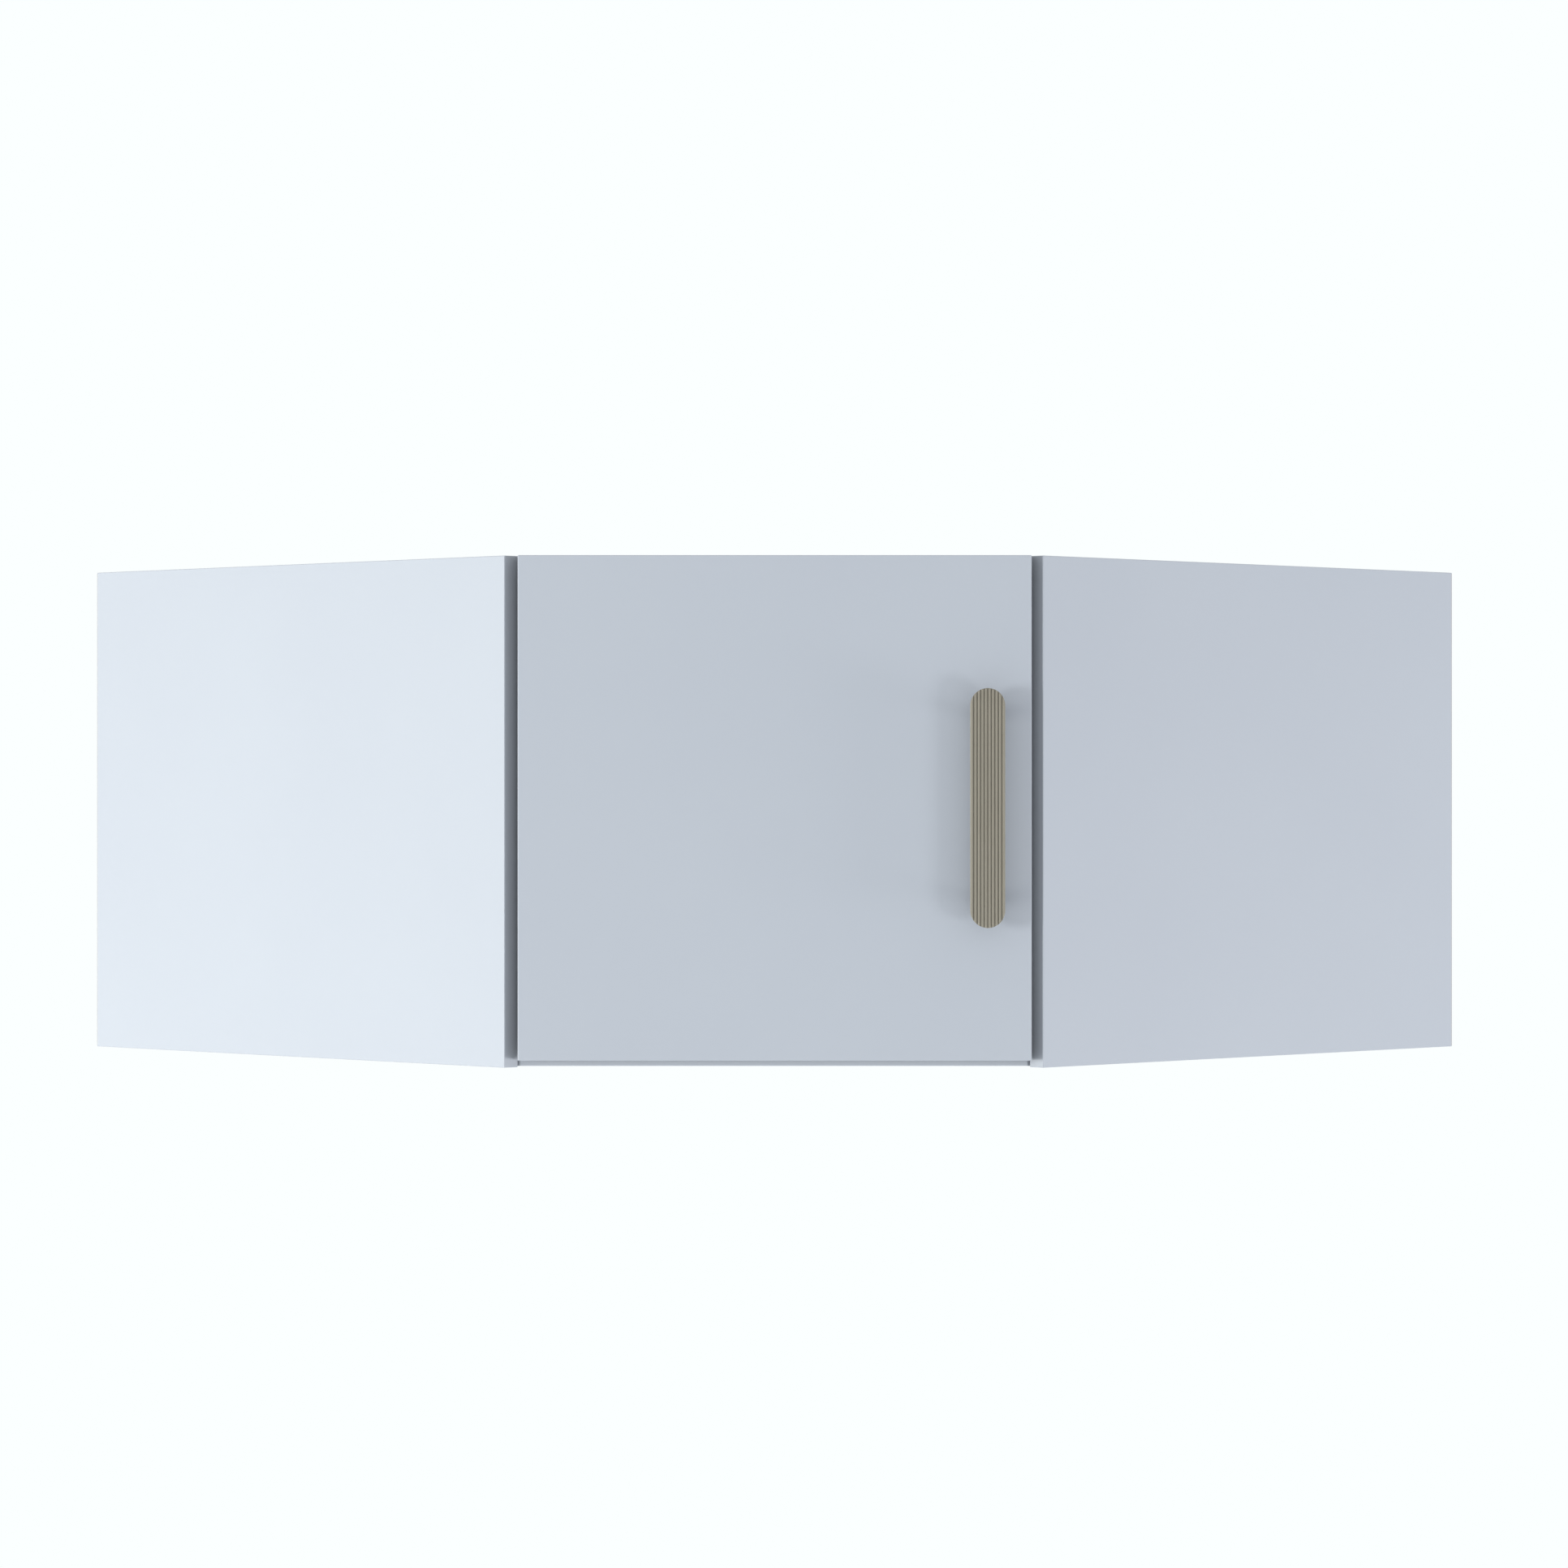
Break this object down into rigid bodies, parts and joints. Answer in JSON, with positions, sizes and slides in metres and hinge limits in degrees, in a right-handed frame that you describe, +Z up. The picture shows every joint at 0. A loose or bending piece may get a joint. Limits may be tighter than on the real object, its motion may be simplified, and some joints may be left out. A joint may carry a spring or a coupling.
{
  "type": "diagonal corner wall cabinet",
  "caption": "Five-sided corner wall cabinet with a flat front door across the corner on concealed corner hinges, a reeded bar handle and an open storage space.",
  "frame": {"origin": "the room corner, where the two walls meet, at the level of the side panels' lower ends", "axes": "+X to the right seen from the front of the door, +Y from the door into the room corner, +Z up"},
  "size_m": [1.2728, 1.0744, 0.445],
  "materials": {
    "white_board": "cool white satin melamine facing on chipboard",
    "white_edge_band": "cool white satin edge band",
    "white_hardboard": "white lacquered hardboard",
    "nickel_plated_steel": "nickel plated, satin",
    "pivot_steel": "ground steel",
    "zinc_plated_steel": "zinc plated",
    "zinc_die_casting": "cast zinc, dull",
    "white_cap_plastic": "satin white",
    "beech_dowel": "bare beech",
    "clear_bumper": "soft translucent",
    "greige_lacquer": "satin greige lacquer on metal"
  },
  "bodies": {
    "carcass": {"bottom_edge_band": "white_edge_band", "bottom_panel": "white_board", "cam_bolts": "zinc_plated_steel", "cam_caps": "white_cap_plastic", "cam_housings": "zinc_die_casting", "carcass_dowels": "beech_dowel", "confirmat_screws": "zinc_plated_steel", "hinge_arm_pins": "pivot_steel", "hinge_arm_screws": "zinc_plated_steel", "hinge_plate_screws": "zinc_plated_steel", "left_back_panel": "white_hardboard", "left_corner_upright": "white_board", "left_hanging_rail": "white_board", "left_side_edge_bands": "white_edge_band", "left_side_panel": "white_board", "lower_hinge_arm": "nickel_plated_steel", "lower_hinge_mounting_plate": "nickel_plated_steel", "right_back_panel": "white_hardboard", "right_corner_upright": "white_board", "right_hanging_rail": "white_board", "right_side_edge_bands": "white_edge_band", "right_side_panel": "white_board", "top_edge_band": "white_edge_band", "top_panel": "white_board", "upper_hinge_arm": "nickel_plated_steel", "upper_hinge_mounting_plate": "nickel_plated_steel"},
    "outer_links": {"lower_hinge_outer_link": "nickel_plated_steel", "upper_hinge_outer_link": "nickel_plated_steel"},
    "door": {"door_panel": "white_board", "door_edge_bands": "white_edge_band", "lower_hinge_cup": "nickel_plated_steel", "upper_hinge_cup": "nickel_plated_steel", "hinge_cup_pins": "pivot_steel", "hinge_cup_screws": "zinc_plated_steel", "handle_grip": "greige_lacquer", "handle_posts": "greige_lacquer", "handle_screws": "zinc_plated_steel", "door_bumpers": "clear_bumper"},
    "inner_links": {"lower_hinge_inner_link": "nickel_plated_steel", "upper_hinge_inner_link": "nickel_plated_steel"}
  },
  "joints": [
    {"name": "outer_link_swing", "type": "hinge", "parent": "carcass", "child": "outer_links", "pos_m": [-0.19024, -1.02983, 0.2255], "axis": [0, 0, 1], "range_deg": [0, 28.47]},
    {"name": "door_swing", "type": "hinge", "parent": "outer_links", "child": "door", "pos_m": [-0.21088, -1.03309, 0.2255], "axis": [0, 0, -1], "range_deg": [0, 118.47]},
    {"name": "inner_link_swing", "type": "hinge", "parent": "carcass", "child": "inner_links", "pos_m": [-0.19024, -1.03543, 0.2255], "axis": [0, 0, 1], "range_deg": [0, 6.98]}
  ],
  "couplings": [
    {"joint": "outer_link_swing", "follows": "door_swing", "ratio": 0.2403},
    {"joint": "inner_link_swing", "follows": "door_swing", "ratio": 0.058953}
  ]
}
